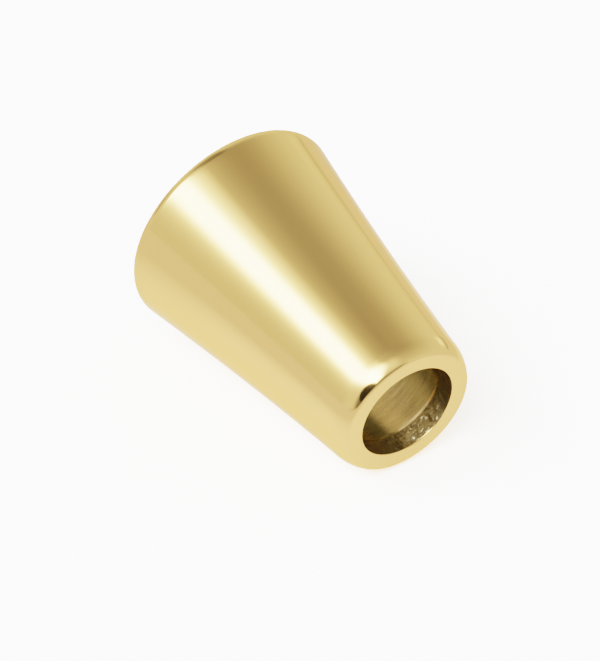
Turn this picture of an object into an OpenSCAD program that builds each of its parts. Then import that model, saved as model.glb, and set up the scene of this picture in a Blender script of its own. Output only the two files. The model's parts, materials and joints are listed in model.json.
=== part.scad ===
// Cone end cap: a hollow metal cone that covers the end of a cord or tassel.
// It lies on its side on the ground, as a cone comes to rest, and is turned so that its narrow
// end points partly to the front. +Z is up, the front is at -Y, and the origin is on the ground
// under the middle of the cap. Sizes are in millimetres.

/* [Outside] */
// Largest diameter, close to the wide end
wide_d = 10.26; // [9:0.01:14]
// Length along the cone's own axis
length = 13.64; // [11:0.01:20]
// Outer diameter of the flat ring on the narrow end
ring_d = 6.1; // [5.4:0.05:6.8]
// Radius of the long, slightly hollow curve of the side
side_r = 220; // [80:5:600]

/* [Edges] */
// Rounding of the outer edge at the wide end
wide_edge_r = 0.5; // [0.2:0.05:0.6]
// Radius of the soft shoulder before the narrow end
shoulder_r = 1.8; // [1:0.1:3]
// Angle to which the soft shoulder turns before the crisp edge of the flat ring, in degrees
shoulder_turn = 33; // [20:1:50]
// Rounding of the crisp edge around the flat ring
ring_edge_r = 0.2; // [0.1:0.05:0.4]
// Rounding of the inner edge of the mouth
mouth_edge_r = 0.15; // [0.05:0.05:0.2]
// Rounding of the cord hole's outer edge
hole_edge_r = 0.06; // [0.02:0.01:0.15]

/* [Inside] */
// Diameter of the cord hole
hole_d = 4.7; // [3.5:0.05:5]
// Thickness of the lip around the cord hole
lip = 1.0; // [0.6:0.1:2]
// Thickness of the wall at the mouth
wall = 0.8; // [0.75:0.05:1.2]
// Diameter of the cavity where it meets the lip
cavity_end_d = 5.4; // [5.3:0.05:5.6]
// Rounding of the cavity's corner at the lip
corner_r = 0.15; // [0.05:0.05:0.15]

/* [Place] */
// Angle from the X axis to the way the narrow end points, seen from above, in degrees
turn = -25; // [-180:1:180]

/* [Hidden] */
$fn = 180;
edge_step = 8; // degrees that each short stretch of a rounded edge turns
side_step = 0.35; // the same on the long curve of the side
light_gold = [0.83, 0.73, 0.45];

function size(v) = sqrt(v * v);
function direction(angle) = [cos(angle), sin(angle)];
function angle_of(v) = atan2(v.y, v.x);

// Where two circles meet, on the right of the way from centre a to centre b
function meeting(a, ra, b, rb) =
    let (gap = size(b - a), ahead = (b - a) / gap)
    let (along = (gap * gap + ra * ra - rb * rb) / (2 * gap))
    a + along * ahead + sqrt(ra * ra - along * along) * [ahead.y, -ahead.x];

// Points on a circle from one angle to another
function arc(centre, r, from, to, step = edge_step) =
    let (count = ceil(abs(to - from) / step))
    [for (i = [0 : count]) centre + r * direction(from + (to - from) * i / count)];

// The section of the metal: x is the distance from the cone's axis, and y is the distance from
// the wide end. These are the centres of its outer roundings, which run smoothly into each other.
wide_edge = [wide_d / 2 - wide_edge_r, wide_edge_r];
ring_edge = [ring_d / 2, length - ring_edge_r];
shoulder = ring_edge - (shoulder_r - ring_edge_r) * direction(shoulder_turn);
side = meeting(wide_edge, side_r + wide_edge_r, shoulder, side_r + shoulder_r);

// Slopes of the side where it leaves the wide edge and where it reaches the shoulder
side_start = angle_of(side - wide_edge);
side_end = angle_of(side - shoulder);

// The cavity tapers straight from the mouth to the lip.
mouth_r = wide_d / 2 - wall;
cavity_end = length - lip;
taper = atan((mouth_r - cavity_end_d / 2) / cavity_end);
mouth_edge = [mouth_r + mouth_edge_r * tan(45 - taper / 2), mouth_edge_r];
corner = [cavity_end_d / 2 - corner_r * tan(45 - taper / 2), cavity_end - corner_r];
hole_edge = [hole_d / 2 + hole_edge_r, length - hole_edge_r];

section = [
    each arc(wide_edge, wide_edge_r, -90, side_start),
    each arc(side, side_r, 180 + side_start, 180 + side_end, side_step),
    each arc(shoulder, shoulder_r, side_end, shoulder_turn),
    each arc(ring_edge, ring_edge_r, shoulder_turn, 90),
    each arc(hole_edge, hole_edge_r, 90, 180),
    [hole_d / 2, cavity_end],
    each arc(corner, corner_r, 90, taper),
    each arc(mouth_edge, mouth_edge_r, 180 + taper, 270)
];

// How far the axis dips when the wide edge and the shoulder both touch the ground
between = shoulder - wide_edge;
dip = atan(-between.x / between.y) - asin((shoulder_r - wide_edge_r) / size(between));

// How far the metal reaches from the centre of the wide end, in a direction that leans by an
// angle from square to the axis towards the narrow end
function reach(lean) = max([for (point = section) point * direction(lean)]);

// Where the axis points once the cap lies and is turned, and from there the height of the wide
// end's centre above the ground and its way to the middle of the cap's box
ahead = [cos(dip) * cos(turn), cos(dip) * sin(turn), -sin(dip)];
rise = reach(dip);
middle = [for (share = [ahead.x, ahead.y]) (reach(asin(share)) - reach(-asin(share))) / 2];

// The one piece of metal, spun around its axis and laid on the ground
module cone_cap() {
    color(light_gold)
    translate([-middle.x, -middle.y, rise])
    rotate([0, 90 + dip, turn])
    rotate_extrude() polygon(section);
}

cone_cap();
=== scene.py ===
# %% [markdown]
# # A cone end cap in polished light gold
#
# A cone end cap is a small hollow cone of metal. It hides the end of a cord or a tassel: the
# bundle is glued into the wide mouth, and a cord comes out of the round hole in the narrow end.
# This lesson dresses a CAD model of one. The CAD model comes in as a fixed frame: it says where
# the cap lies and how large it is, and everything made here has to agree with it.
#
# The cap is mirror-polished, so most of what the eye sees on it is not the metal but the room
# around it. That is why the light gets as much care here as the shape.

# %% The frame
import json
import math
import bmesh
import bpy
from mathutils import Matrix, Vector, noise


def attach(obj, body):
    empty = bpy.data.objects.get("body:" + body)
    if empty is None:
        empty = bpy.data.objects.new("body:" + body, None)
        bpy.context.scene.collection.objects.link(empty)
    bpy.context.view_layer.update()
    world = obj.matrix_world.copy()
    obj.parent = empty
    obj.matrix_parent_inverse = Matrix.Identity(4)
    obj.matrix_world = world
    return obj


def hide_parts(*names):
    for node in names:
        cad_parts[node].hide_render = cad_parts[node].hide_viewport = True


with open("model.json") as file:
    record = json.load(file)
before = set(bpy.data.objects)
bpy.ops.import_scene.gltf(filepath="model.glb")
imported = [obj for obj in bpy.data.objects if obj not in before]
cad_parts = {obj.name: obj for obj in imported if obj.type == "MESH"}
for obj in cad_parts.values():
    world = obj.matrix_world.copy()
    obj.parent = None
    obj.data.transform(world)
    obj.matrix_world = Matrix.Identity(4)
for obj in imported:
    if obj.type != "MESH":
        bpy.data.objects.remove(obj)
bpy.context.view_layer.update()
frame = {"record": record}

MM = 0.001

# %% [markdown]
# ## Where the cap lies
#
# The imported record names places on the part. The mouth is the open wide end: its place is the
# centre of that end, and its axis points out of it, away from the narrow end. Those two are
# enough to carry a shape that is drawn upright, along Z, to where the cap lies. The other way
# would be to type the angles in again, but then a change of the CAD model would go unnoticed.

# %% The cap's axis
mounts = {mount["name"]: mount for mount in frame["record"]["mounts"]}
wide_end = Vector(mounts["mouth"]["pos_m"])
along = -Vector(mounts["mouth"]["axis"]).normalized()
upright = (Vector((0, 0, 1)) - along.z * along).normalized()
level = along.cross(upright)
cap_place = Matrix((upright, level, along)).transposed().to_4x4()
cap_place.translation = wide_end
print("the axis dips", round(math.degrees(math.asin(-along.z)), 2), "degrees")

# %% [markdown]
# ## The section
#
# A turned part is drawn best as half of its section. The section here is drawn like a draughtsman
# does it, with a pen that goes round the metal once: straight strokes, and strokes of a compass
# for every rounded edge. An extruded vertex makes a straight stroke, and a spun vertex makes an
# arc. A bevel on the finished solid would be shorter to write, but it can't make the long, slightly
# hollow curve of the side run smoothly into the shoulder, and a mirror shows every such break.
#
# X is the distance from the axis and Z the distance from the wide end, in millimetres.

# %% Sizes of the section
wide_r, length = 10.26 / 2, 13.64
ring_r, hole_r = 6.1 / 2, 4.7 / 2
side_round, wide_round, shoulder_round = 220.0, 0.5, 1.8
ring_round, hole_round, mouth_round, corner_round = 0.2, 0.06, 0.15, 0.15
shoulder_turn = math.radians(33)
mouth_r, cavity_end_r, cavity_end = 4.33, 2.7, 12.64
# The burr: where it starts in the bore, how it flares, its tip, and where it meets the lip again
burr_root, flare_round, flare, flare_length = 0.05, 0.12, math.radians(24), 0.15
burr_tip, burr_foot = 0.015, 0.14
print("wall at the mouth:", round(wide_r - mouth_r, 2), "mm, lip:", round(length - cavity_end, 2), "mm")


def towards(angle):
    return Vector((math.cos(angle), 0, math.sin(angle)))


def angle_of(way):
    return math.atan2(way.z, way.x)


# %% Centres of the arcs
wide_edge = Vector((wide_r - wide_round, 0, wide_round))
ring_edge = Vector((ring_r, 0, length - ring_round))
shoulder = ring_edge - (shoulder_round - ring_round) * towards(shoulder_turn)
# The side's circle touches the wide edge and the shoulder from outside.
across = shoulder - wide_edge
near, far = side_round + wide_round, side_round + shoulder_round
share = (across.length ** 2 + near ** 2 - far ** 2) / (2 * across.length)
outwards = Vector((across.z, 0, -across.x)).normalized()
side = wide_edge + share * across.normalized() + math.sqrt(near ** 2 - share ** 2) * outwards
side_start, side_end = angle_of(side - wide_edge), angle_of(side - shoulder)
taper = math.atan((mouth_r - cavity_end_r) / cavity_end)
quarter = math.tan(math.pi / 4 - taper / 2)
mouth_edge = Vector((mouth_r + mouth_round * quarter, 0, mouth_round))
corner = Vector((cavity_end_r - corner_round * quarter, 0, cavity_end - corner_round))
flare_edge = Vector((hole_r + flare_round, 0, cavity_end + burr_root))
hole_edge = Vector((hole_r + hole_round, 0, length - hole_round))
print("the side leans", round(math.degrees(side_start), 2), "to", round(math.degrees(side_end), 2))

# %% The pen
metal = bmesh.new()
start = metal.verts.new(wide_edge - wide_round * towards(math.pi / 2))
pen = start


def stroke(end, pieces):
    # A straight stroke, in even pieces
    global pen
    step = (end - pen.co) / pieces
    drawn = []
    for _ in range(pieces):
        pen = bmesh.ops.extrude_vert_indiv(metal, verts=[pen])["verts"][0]
        bmesh.ops.translate(metal, verts=[pen], vec=step)
        drawn.append(pen)
    return drawn


def compass(centre, turn, pieces):
    # An arc around a centre. A positive turn goes from X towards Z, which is around -Y.
    global pen
    swung = bmesh.ops.spin(metal, geom=[pen], cent=centre, axis=(0, -1, 0), dvec=(0, 0, 0),
                           angle=turn, steps=pieces, use_merge=False, use_duplicate=False)
    pen = next(part for part in swung["geom_last"] if isinstance(part, bmesh.types.BMVert))


# %% Once round the metal
compass(wide_edge, math.pi / 2 + side_start, 14)
compass(side, side_end - side_start, 40)
compass(shoulder, shoulder_turn - side_end, 14)
compass(ring_edge, math.pi / 2 - shoulder_turn, 10)
stroke(hole_edge + hole_round * towards(math.pi / 2), 8)
compass(hole_edge, math.pi / 2, 6)
stroke(flare_edge - flare_round * towards(0), 16)
compass(flare_edge, flare, 4)
stroke(pen.co + flare_length * towards(flare - math.pi / 2), 4)
compass(pen.co + burr_tip * towards(flare), math.radians(150), 5)
stroke(Vector((hole_r + burr_foot, 0, cavity_end)), 2)
stroke(corner + corner_round * towards(math.pi / 2), 2)
compass(corner, taper - math.pi / 2, 6)
cavity_wall = stroke(mouth_edge - mouth_round * towards(taper), 190)
compass(mouth_edge, math.pi / 2 - taper, 6)
stroke(start.co.copy(), 3)
print("the section has", len(metal.verts), "points")

# %% [markdown]
# ## Marks of the tool
#
# The inside of such a cap isn't polished. The cavity keeps the fine rings that the tool left,
# each a few thousandths of a millimetre deep. They run all the way round, so it is enough to move
# the points of the section a little before it is spun: a slow wave of noise for the passes of the
# tool, and a quick one for the single rings. A bump map could fake the rings, but here they stand
# right behind the hole, where the light grazes them.

# %% Rings in the cavity
PASS_PITCH, RING_PITCH, RING_DEPTH = 0.9, 0.17, 0.007
SAME_POINT = 1e-5
inwards = -towards(taper)
for point in cavity_wall[:-1]:
    passes = noise.noise(Vector((point.co.z / PASS_PITCH, 0.5, 2.5)))
    rings = noise.noise(Vector((point.co.z / RING_PITCH, 7.5, 0.5)))
    bmesh.ops.translate(metal, verts=[point], vec=RING_DEPTH * (0.8 * passes + rings) * inwards)
bmesh.ops.remove_doubles(metal, verts=metal.verts[:], dist=SAME_POINT)
print("the section closes:", all(len(point.link_edges) == 2 for point in metal.verts))

# %% [markdown]
# ## The turned solid
#
# One full spin around Z makes the solid. With use_merge the last turn is joined to the first, so
# no seam is left. A spin can come out with its faces turned inwards, so the normals are worked
# out again once the doubles are gone.

# %% Spin
TURN_STEPS = 256
bmesh.ops.spin(metal, geom=metal.verts[:] + metal.edges[:], cent=(0, 0, 0), axis=(0, 0, 1),
               dvec=(0, 0, 0), angle=math.tau, steps=TURN_STEPS,
               use_merge=True, use_duplicate=False)
bmesh.ops.remove_doubles(metal, verts=metal.verts[:], dist=SAME_POINT)
bmesh.ops.recalc_face_normals(metal, faces=metal.faces[:])
print("volume in cubic mm:", round(metal.calc_volume(signed=True), 1), "faces:", len(metal.faces))

# %% [markdown]
# ## The rough bore
#
# The cord hole is left as it was cast. Its wall is uneven, with a few grains of metal on the
# lower side that catch the light as bright specks. Here the points of the wall are moved in and
# out by noise, after the spin, so that the marks don't run round the hole. The moves fade out
# at both ends of the bore, slowly inside and at the last moment outside, where the grains reach
# the rim, and they grow towards the grainy side.

# %% Grains on the wall of the hole
GRAIN_SIDE = Vector((math.cos(math.radians(212)), math.sin(math.radians(212)), 0))
COARSE, FINE, GRAIN_HEIGHT = 2.6, 6.0, 0.05
INNER_FADE, OUTER_FADE, ON_THE_WALL = 0.15, 0.06, 0.001
bore_low, bore_high = flare_edge.z, hole_edge.z


def grown(value, none, full):
    # 0 up to none, 1 from full on, and smooth between
    part = min(1, max(0, (value - none) / (full - none)))
    return part * part * (3 - 2 * part)


moved = 0
for point in metal.verts:
    reach = math.hypot(point.co.x, point.co.y)
    if abs(reach - hole_r) < ON_THE_WALL and bore_low < point.co.z < bore_high:
        outward = Vector((point.co.x, point.co.y, 0)) / reach
        grainy = 0.2 + 0.8 * grown(outward.dot(GRAIN_SIDE), 0.6, 0.95)
        inner_end = grown(point.co.z, bore_low, bore_low + INNER_FADE)
        outer_end = grown(bore_high - point.co.z, 0, OUTER_FADE)
        lumps = noise.noise(point.co * COARSE) + 0.8 * noise.noise(point.co * FINE)
        point.co -= GRAIN_HEIGHT * grainy * inner_end * outer_end * lumps * outward
        moved += 1
print("points moved in the bore:", moved)

# %% [markdown]
# ## The burr
#
# Where the hole opens into the cavity, the tool pushed a little metal over the edge. It stands
# there as a small flared burr. It was drawn with the section: a short arc, a short stroke outwards
# and a tiny round tip. It faces the hole and mirrors the light from the mouth, so it shows as a
# bright line deep in the hole; its colour is also painted lighter on the lit side and darker on the
# rest, a painted highlight. A real burr is never even, so its height waves a little with noise.

# %% An uneven burr
BURR_WAVE, BURR_PITCH = 0.45, 1.7
LEAST_HANG, MOST_HANG, burr_r = 0.01, 0.2, hole_r + 0.135
moved = 0
for point in metal.verts:
    hang = cavity_end - point.co.z
    if LEAST_HANG < hang < MOST_HANG and math.hypot(point.co.x, point.co.y) < burr_r:
        point.co.z += BURR_WAVE * hang * noise.noise(point.co * BURR_PITCH)
        moved += 1
print("points moved in the burr:", moved)

# %% [markdown]
# ## Three finishes on one piece
#
# The outside is polished and plated, the bore is rough, and the cavity is turned. Each face gets
# the finish of its place, so the three meet exactly at the edges of the metal. Then the cap is
# scaled to metres and laid down by its matrix, with the place in the mesh and not in the object.

# %% Faces and finishes
OUTSIDE, BORE, CAVITY = 0, 1, 2
BORE_SLACK, CAVITY_SLACK = 0.05, 0.2
for face in metal.faces:
    face.smooth = True
    middle = face.calc_center_median()
    reach = math.hypot(middle.x, middle.y)
    cavity_r = mouth_r - middle.z * math.tan(taper)
    if bore_low < middle.z < bore_high and reach < hole_r + BORE_SLACK:
        face.material_index = BORE
    elif mouth_round < middle.z < flare_edge.z and reach < cavity_r + CAVITY_SLACK:
        face.material_index = CAVITY
bmesh.ops.scale(metal, vec=(MM, MM, MM), verts=metal.verts[:])
bmesh.ops.transform(metal, matrix=cap_place, verts=metal.verts[:])
print("lowest point in mm:", round(min(point.co.z for point in metal.verts) / MM, 4))

# %% The cap
mesh = bpy.data.meshes.new("polished_cap")
metal.to_mesh(mesh)
metal.free()
cap = bpy.data.objects.new("polished_cap", mesh)
bpy.context.scene.collection.objects.link(cap)
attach(cap, "root")
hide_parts("cone_cap")
finish_counts = [sum(face.material_index == finish for face in mesh.polygons)
                 for finish in (OUTSIDE, BORE, CAVITY)]
print("faces outside, in the bore and in the cavity:", finish_counts)

# %% [markdown]
# ## A small language for shaders
#
# Node trees are easier to read as sums. A Signal is one output of a node, and Python's own signs
# work on it. Every other node comes from Board.add, which takes its type, its settings and the
# values or signals of its inputs.


# %% Signals
class Signal:
    def __init__(self, board, socket):
        self.board, self.socket = board, socket

    def maths(self, operation, *terms):
        return self.board.add("ShaderNodeMath", {"operation": operation}, dict(enumerate(terms)))

    def __add__(self, other): return self.maths("ADD", self, other)
    def __radd__(self, other): return self.maths("ADD", other, self)
    def __sub__(self, other): return self.maths("SUBTRACT", self, other)
    def __rsub__(self, other): return self.maths("SUBTRACT", other, self)
    def __mul__(self, other): return self.maths("MULTIPLY", self, other)
    def __rmul__(self, other): return self.maths("MULTIPLY", other, self)
    def __truediv__(self, other): return self.maths("DIVIDE", self, other)
    def __rtruediv__(self, other): return self.maths("DIVIDE", other, self)
    def __pow__(self, other): return self.maths("POWER", self, other)
    def __abs__(self): return self.maths("ABSOLUTE", self)


# %% Boards
class Board:
    def __init__(self, owner):
        owner.use_nodes = True
        self.tree = owner.node_tree
        self.tree.nodes.clear()

    def add(self, kind, settings, values, out=0):
        node = self.tree.nodes.new(kind)
        for name, setting in settings.items():
            setattr(node, name, setting)
        for name, value in values.items():
            if isinstance(value, Signal):
                self.tree.links.new(value.socket, node.inputs[name])
            else:
                node.inputs[name].default_value = value
        return Signal(self, node.outputs[out] if node.outputs else None)

    def soft_step(self, value, full, none):
        # 1 up to full, 0 from none on, and smooth between
        ends = {"Value": value, "From Min": full, "From Max": none, "To Min": 1, "To Max": 0}
        return self.add("ShaderNodeMapRange", {"interpolation_type": "SMOOTHSTEP"}, ends)

    def dot(self, first, second):
        return self.add("ShaderNodeVectorMath", {"operation": "DOT_PRODUCT"},
                        {0: first, 1: second}, "Value")

    def vector(self, operation, *terms):
        return self.add("ShaderNodeVectorMath", {"operation": operation}, dict(enumerate(terms)))

    def blend(self, share, none, full):
        # Sockets 6 and 7 of a Mix node are its two colours, and its third output is their mixture.
        return self.add("ShaderNodeMix", {"data_type": "RGBA"}, {0: share, 6: none, 7: full}, 2)

    def noise(self, place, scales, detail):
        # Noise from 0 to 1, with its own scale per metre along each axis
        stretched = self.vector("MULTIPLY", place, scales)
        return self.add("ShaderNodeTexNoise", {},
                        {"Vector": stretched, "Scale": 1.0, "Detail": detail})


# %% [markdown]
# ## The metal
#
# Light gold plate is a metal. A metal has no colour of its own beneath, it tints what it mirrors,
# and it mirrors more and paler at a glancing angle. Metallic 1 with a base colour says the first,
# and the specular tint says how pale the edges get.
#
# The patterns of all three finishes follow the cap, not the room: a Mapping node turns Object
# coordinates so that Z runs along the cap's own axis from the wide end.

# %% Gold
GLANCING_TINT = (1.0, 0.89, 0.66, 1)
in_cap = cap_place.inverted()


def cap_space(board):
    place = board.add("ShaderNodeTexCoord", {}, {}, "Object")
    laid = {"Vector": place, "Location": in_cap.translation, "Rotation": in_cap.to_euler()}
    return board.add("ShaderNodeMapping", {"vector_type": "POINT"}, laid)


def gold_finish(name, pattern):
    # A pattern gives the colour, the roughness, the height of the surface and the unit of height.
    material = bpy.data.materials.new(name)
    board = Board(material)
    colour, roughness, height, unit = pattern(board, cap_space(board))
    normal = board.add("ShaderNodeBump", {}, {"Height": height, "Distance": unit, "Strength": 1.0})
    shader = board.add("ShaderNodeBsdfPrincipled", {},
                       {"Base Color": colour, "Metallic": 1.0, "Roughness": roughness,
                        "Normal": normal, "Specular Tint": GLANCING_TINT})
    board.add("ShaderNodeOutputMaterial", {}, {"Surface": shader})
    cap.data.materials.append(material)
    print(name, "has", len(board.tree.nodes), "nodes")


# %% [markdown]
# ### Polished outside
#
# Polishing on a soft wheel leaves a mirror that is not quite even: it waves by a few thousandths
# of a millimetre, and has a faint haze where the wheel passed less often. Waves that small never
# show as shape, but they bend the edges of a reflection. The plate is a touch redder where it is
# thicker.


# %% Polish
THIN_PLATE, THICK_PLATE = (0.94, 0.656, 0.276, 1), (0.92, 0.632, 0.252, 1)
POLISH_WAVE = 0.006 * MM


def polish(board, place):
    waves = board.noise(place, (300, 300, 220), 1.0)
    haze = board.noise(place, (900, 900, 500), 3.0)
    lines = board.noise(place, (9000, 9000, 900), 2.0)
    colour = board.blend(waves, THIN_PLATE, THICK_PLATE)
    roughness = 0.065 + 0.03 * haze + 0.01 * lines
    return colour, roughness, waves + 0.004 * lines, POLISH_WAVE


gold_finish("polished_light_gold", polish)

# %% [markdown]
# ### Rough bore
#
# Little plating reaches the wall of the hole, and none of the polish does. It is darker and
# duller. The tops of its grains on the lower side get a lighter colour, a painted glint, and that
# side of the wall is painted lighter too, with stains that vary it at random.


# %% Bore
CAST_DULL, CAST_PALE, GRAIN_GLINT = (0.42, 0.375, 0.24, 1), (0.76, 0.66, 0.42, 1), (0.90, 0.76, 0.48, 1)
CAST_GRAIN = 0.04 * MM


def cast_wall(board, place):
    stains = board.noise(place, (700, 700, 700), 4.0)
    grain = board.noise(place, (6000, 6000, 6000), 3.0)
    outward = board.vector("NORMALIZE", board.vector("MULTIPLY", place, (1, 1, 0)))
    grainy = board.soft_step(board.dot(outward, GRAIN_SIDE), 0.97, 0.80)
    # Painted glint and painted light: grain tops on the lower side get a lighter colour, and that side
    # of the wall is lighter; stains vary it at random.
    bright = board.soft_step(grain, 0.64, 0.58) * grainy
    stains_and_lit_side = 0.55 * grainy + 0.6 * (stains - 0.5)
    colour = board.blend(bright, board.blend(stains_and_lit_side, CAST_DULL, CAST_PALE), GRAIN_GLINT)
    return colour, 0.28 + 0.16 * stains - 0.08 * bright, grain, CAST_GRAIN


gold_finish("bored_light_gold", cast_wall)

# %% [markdown]
# ### Turned cavity
#
# The cavity has no polish either, but the tool left it fairly smooth, so it mirrors dimly along
# its rings. Finer rings than the mesh can hold come from noise that is squeezed along the axis
# and long around it. Its light and shade are painted into the colour: one narrow side, the wide
# side across from it and the mouth's end get painted light, one more side gets painted shade,
# and the wall between them is painted darker, as shade. Both sides matter, since the view through
# the hole bounces from the one to the other.

# %% Cavity
# Directions and colours of the painted light and shade in the cavity and on the burr
PAINTED_LIT_SIDE = Vector((math.cos(math.radians(222)), math.sin(math.radians(222)), 0))
PAINTED_SHADE_SIDE = Vector((math.cos(math.radians(75)), math.sin(math.radians(75)), 0))
SHADED_WALL_DARK, SHADED_WALL_PALE = (0.31, 0.27, 0.16, 1), (0.41, 0.355, 0.21, 1)
LIT_WALL_DULL, LIT_WALL_BRIGHT = (0.45, 0.382, 0.232, 1), (0.82, 0.70, 0.44, 1)
BURR_SHADED, BURR_LIT = (0.36, 0.32, 0.20, 1), (0.80, 0.62, 0.34, 1)
RING_BUMP = 0.006 * MM


def turned_wall(board, place):
    outward = board.vector("NORMALIZE", board.vector("MULTIPLY", place, (1, 1, 0)))
    wander = board.noise(place, (500, 500, 500), 3.0) - 0.5
    facing = board.dot(outward, PAINTED_LIT_SIDE) + 0.08 * wander
    # Painted light and shade: one narrow side, the side across from it and the end near the mouth get
    # the lighter colours, one more side is painted darker, and the rest of the wall gets the darker
    # colours.
    lit_patch = board.soft_step(facing, 0.866, 0.755)
    lit_far_side = board.soft_step(facing, -0.22, 0.2)
    painted_shade = 0.45 * board.soft_step(board.dot(outward, PAINTED_SHADE_SIDE), 0.85, 0.1)
    rings = board.noise(place, (260, 260, 14000), 3.0)
    streaks = board.noise(place, (900, 900, 6000), 2.0)
    shaded_wall = board.blend(rings, SHADED_WALL_DARK, SHADED_WALL_PALE)
    lit_wall = board.blend(0.2 + streaks - painted_shade, LIT_WALL_DULL, LIT_WALL_BRIGHT)
    depth = board.add("ShaderNodeSeparateXYZ", {}, {0: place}, "Z")
    near_mouth = board.soft_step(depth, 1 * MM, 5 * MM)
    painted_light = near_mouth.maths("MAXIMUM", near_mouth, lit_patch + lit_far_side)
    wall = board.blend(painted_light, shaded_wall, lit_wall)
    burr = board.soft_step(depth, 12.5 * MM, 12.45 * MM)
    # Painted highlight: the burr's colour is lighter on the lit side and darker on the rest.
    burr_light = board.soft_step(facing, 0.93, 0.80)
    colour = board.blend(burr, wall, board.blend(burr_light, BURR_SHADED, BURR_LIT))
    roughness = 0.19 + 0.06 * streaks + 0.2 * near_mouth
    return colour, roughness, rings + 0.4 * streaks, RING_BUMP


gold_finish("turned_light_gold", turned_wall)

# %% [markdown]
# ## The floor
#
# The cap lies on a plain pale sheet, lit from below as well as from above, as on a product
# table. Such a sheet shows hardly any shadow in the mirror of the metal. The camera sees the
# sheet without its own glow and much brighter, because a picture of this kind is exposed for
# a white ground. Light Path tells the two apart.
#
# Two things shade the sheet, and both show as thin dark lines in the cap's shoulder: the hem of
# the light tent far behind the cap, and the camera's tripod in front of it.

# %% Floor
FLOOR_RADIUS = 1.2
floor_mesh = bpy.data.meshes.new("pale_floor")
sheet = bmesh.new()
bmesh.ops.create_circle(sheet, cap_ends=True, segments=96, radius=FLOOR_RADIUS)
sheet.to_mesh(floor_mesh)
sheet.free()
floor = bpy.data.objects.new("pale_floor", floor_mesh)
bpy.context.scene.collection.objects.link(floor)
print("the sheet is", 2 * FLOOR_RADIUS, "m across")


def grey(board, value):
    return board.add("ShaderNodeCombineColor", {}, {0: value, 1: value, 2: value})


def bearing(azimuth, elevation):
    # A direction by its azimuth from the front (-Y) towards +X, and its elevation, in degrees
    a, e = math.radians(azimuth), math.radians(elevation)
    return Vector((math.sin(a) * math.cos(e), -math.cos(a) * math.cos(e), math.sin(e)))


# %% Paper in the mirror
HEM_AZIMUTH, TRIPOD_AZIMUTH = 169.6, 8
FAR_GLOW, NEAR_GLOW, SHEET_TINT = 0.52, 0.19, (1, 0.925, 1)
HEM_SHADE, TRIPOD_SHADE = 0.5, 0.35
paper = bpy.data.materials.new("lit_paper")
board = Board(paper)
place = board.add("ShaderNodeTexCoord", {}, {}, "Object")
away = board.add("ShaderNodeVectorMath", {"operation": "LENGTH"}, {0: place}, "Value")
# The glow and the diffuse colour are brighter near the cap: a painted pool of light.
near_cap = board.soft_step(away, 0.008, 0.024)
to_hem = board.dot(board.vector("NORMALIZE", place), bearing(HEM_AZIMUTH, 0))
hem = board.soft_step(to_hem, 0.99, 0.965) * board.soft_step(away, 0.25, 0.07)
to_tripod = board.dot(board.vector("NORMALIZE", place), bearing(TRIPOD_AZIMUTH, 0))
shaded = board.soft_step(to_tripod, 0.975, 0.93) * board.soft_step(away, 0.15, 0.04)
below = (FAR_GLOW + NEAR_GLOW * near_cap) * (1 - HEM_SHADE * hem) * (1 - TRIPOD_SHADE * shaded)
tinted = board.vector("MULTIPLY", grey(board, below), SHEET_TINT)
glow = board.add("ShaderNodeEmission", {}, {"Color": tinted})
dim = board.add("ShaderNodeBsdfDiffuse", {}, {"Color": grey(board, 0.25 + 0.1 * near_cap)})
lit = board.add("ShaderNodeAddShader", {}, {0: glow, 1: dim})
print("the lit paper has", len(board.tree.nodes), "nodes")

# %% Paper for the camera
SHEET_WHITE, EXPOSURE = 0.84, 3.5
seen = board.add("ShaderNodeLightPath", {}, {}, "Is Camera Ray")
white = SHEET_WHITE * EXPOSURE
exposed_white = board.add("ShaderNodeBsdfDiffuse", {}, {"Color": (white, white, white, 1)})
either = board.add("ShaderNodeMixShader", {}, {0: seen, 1: lit, 2: exposed_white})
board.add("ShaderNodeOutputMaterial", {}, {"Surface": either})
floor_mesh.materials.append(paper)
print("the sheet's white is", round(white, 2))

# %% [markdown]
# ## The light
#
# Polished metal needs something to mirror. Studios hang a light tent around such a piece, with a
# large soft box beyond it: the cloth gives the even middle tone, and the box draws the long
# highlight. A smaller lamp in front of the box ends that highlight softly in the shoulder. The
# tent is never perfect. It is dim overhead and behind, and in front there is the camera on its
# tripod, with a dark screen behind it. Both show as dark spots in the metal. A bare grey room
# would be simpler, but the cap would look like plastic in it.
#
# The tent is the world here. Its pieces are placed by azimuth, from the front (-Y) towards +X,
# and by elevation, in degrees.

# %% Tools of the tent
world = bpy.data.worlds.new("light_tent")
bpy.context.scene.world = world
board = Board(world)
direction = board.add("ShaderNodeTexCoord", {}, {}, "Generated")


def patch(azimuth, elevation, full, none):
    # A round patch of the tent, with its full and its outer radius in degrees
    nearness = board.dot(direction, bearing(azimuth, elevation))
    angle = nearness.maths("ARCCOSINE", nearness) * math.degrees(1)
    return board.soft_step(angle, full, none)


def pane(azimuth, elevation, roll=0.0):
    # Distances across and up in a flat pane that faces the cap, and a mask for its half of the room
    middle = bearing(azimuth, elevation)
    a, tilt = math.radians(azimuth), math.radians(roll)
    sideways = Vector((math.cos(a), math.sin(a), 0))
    upwards = middle.cross(sideways)
    sideways, upwards = (math.cos(tilt) * sideways + math.sin(tilt) * upwards,
                         math.cos(tilt) * upwards - math.sin(tilt) * sideways)
    depth = board.dot(direction, middle)
    return (abs(board.dot(direction, sideways) / depth), abs(board.dot(direction, upwards) / depth),
            board.soft_step(depth, 0.3, 0.1))


def window(azimuth, elevation, width, height):
    # A rectangle with soft sides: half its width and height as (full, none)
    across, up, ahead = pane(azimuth, elevation)
    return board.soft_step(across, *width) * board.soft_step(up, *height) * ahead


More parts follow.
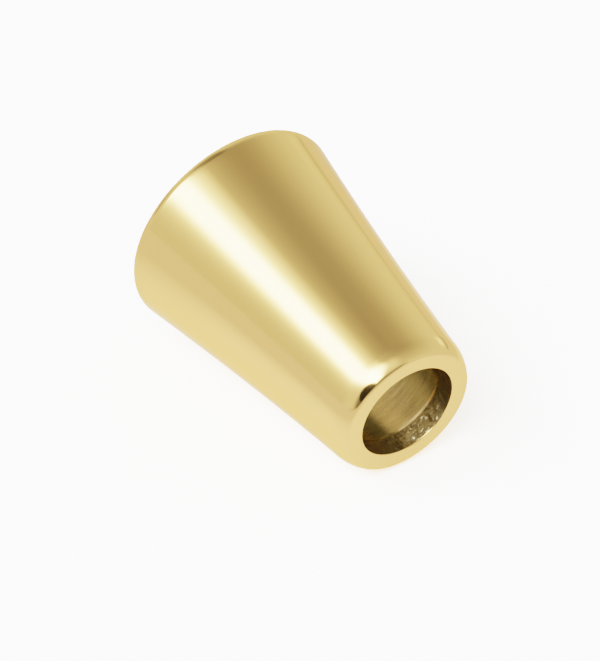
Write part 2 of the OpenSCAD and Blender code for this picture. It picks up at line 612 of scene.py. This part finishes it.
# %% The cloth, with what dims it
CLOTH = 0.82
overhead = 0.52 * patch(180, 71, 0, 62)
left_back = 0.52 * window(-114, 50, (0.1, 0.34), (0.3, 0.6))
left_front = 0.10 * patch(-45, 7, 3, 20)
left_side = 0.5 * window(-94, 4, (0.1, 0.35), (0.05, 0.12))
tent_hem = 0.5 * window(HEM_AZIMUTH, 0, (0.14, 0.24), (0.01, 0.04))
light = CLOTH * (1 - overhead) * (1 - left_back) * (1 - left_front) * (1 - left_side) * (1 - tent_hem)
print("the cloth has", len(board.tree.nodes), "nodes")

# %% What shines through it
BOX_LIGHT, BOX_HALF, LAMP_LIGHT = 4.6, 0.192, 3.0
over_hem = 0.42 * window(168, 8, (0.06, 0.22), (0.01, 0.12))
# The soft box is brightest along its middle and fades slowly above and below it.
across, up, ahead = pane(-22, 48.8, 5)
fade = 1 / (1 + (up / BOX_HALF) ** 4)
soft_box = BOX_LIGHT * board.soft_step(across, 0.6, 1.0) * fade * ahead
# The smaller lamp has a weak glow on either side of it.
lamp = LAMP_LIGHT * patch(8, 57, 2, 23)
glows = 0.45 * patch(-34, 66, 2, 14) + 0.33 * patch(55, 66, 2, 20)
light = light + over_hem + soft_box + lamp + glows
print("with its lights it has", len(board.tree.nodes), "nodes")

# %% The camera and the dark screen behind it
camera_spot = 0.93 * patch(14, 23, 14, 18.5)
tripod = 0.7 * window(TRIPOD_AZIMUTH + 3, 6, (0.14, 0.38), (0.16, 0.40))
dark_screen = 0.52 * window(56, 18, (0.35, 0.62), (0.35, 0.65))
light = light * (1 - camera_spot.maths("MAXIMUM", camera_spot, tripod)) * (1 - dark_screen)

# %% The world
WHITE_GROUND = 3.4
seen = board.add("ShaderNodeLightPath", {}, {}, "Is Camera Ray")
strength = light * (1 - seen) + WHITE_GROUND * seen
background = board.add("ShaderNodeBackground", {}, {"Color": (1, 1, 1, 1), "Strength": strength})
board.add("ShaderNodeOutputWorld", {}, {"Surface": background})
print("the tent has", len(board.tree.nodes), "nodes")

# %% [markdown]
# ## The film
#
# A camera doesn't draw light in proportion. Its film curve lifts the middle tones, and bends the
# brightest ones over so that a soft box keeps some drawing. The curve here is put on the view,
# over the Standard transform. Its own points reach far past 1, because the box is that bright.

# %% Film curve
BRIGHTEST, CONTRAST, MIDDLE = 6.0, 1.56, 0.29
FILM_STEPS = (0.02, 0.05, 0.1, 0.17, 0.26, 0.4, 0.6, 0.85, 1.2, 1.7, 2.5, 3.8)
view = bpy.context.scene.view_settings
view.view_transform = "Standard"
view.look = "None"
view.use_curve_mapping = True
curves = view.curve_mapping
curves.use_clip = True
curves.clip_min_x, curves.clip_min_y = 0, 0
curves.clip_max_x, curves.clip_max_y = BRIGHTEST, BRIGHTEST
curves.extend = "HORIZONTAL"
red, green, blue, film = curves.curves
for channel in (red, green, blue):
    channel.points[1].location = (BRIGHTEST, BRIGHTEST)


def exposed(light_in):
    return light_in ** CONTRAST / (light_in ** CONTRAST + MIDDLE)


film.points[1].location = (BRIGHTEST, exposed(BRIGHTEST))
for light_in in FILM_STEPS:
    film.points.new(light_in, exposed(light_in))
curves.update()
print("the film curve has", len(film.points), "points")

# %% [markdown]
# ## The camera
#
# The camera stands half a metre away with a long lens, as for jewellery, and looks down at the
# narrow end from the front right. Its place is worked out from a point inside the cap and the
# pixel where that point has to appear, so that the picture has the photograph's frame.

# %% Camera
CAMERA_AZIMUTH, CAMERA_ELEVATION, CAMERA_AWAY, LENS = 29.568, 39.160, 0.5, 629.58
IMAGE_WIDTH, IMAGE_HEIGHT, SENSOR = 600, 661, 36.0
AIM_X, AIM_Y = 316.31, 314.85
aim = wide_end + length / 2 * MM * along
back = bearing(CAMERA_AZIMUTH, CAMERA_ELEVATION)
right = Vector((math.cos(math.radians(CAMERA_AZIMUTH)), math.sin(math.radians(CAMERA_AZIMUTH)), 0))
over = back.cross(right)
pixel = CAMERA_AWAY * SENSOR / LENS / IMAGE_HEIGHT
camera_data = bpy.data.cameras.new("camera")
camera_data.lens, camera_data.sensor_width = LENS, SENSOR
camera_data.clip_start, camera_data.clip_end = 0.01, 10.0
camera = bpy.data.objects.new("camera", camera_data)
camera.location = (aim + CAMERA_AWAY * back - (AIM_X - IMAGE_WIDTH / 2) * pixel * right
                   + (AIM_Y - IMAGE_HEIGHT / 2) * pixel * over)
camera.rotation_euler = Matrix((right, over, back)).transposed().to_euler()
bpy.context.scene.collection.objects.link(camera)
bpy.context.scene.camera = camera
print("camera at", [round(c, 4) for c in camera.location])
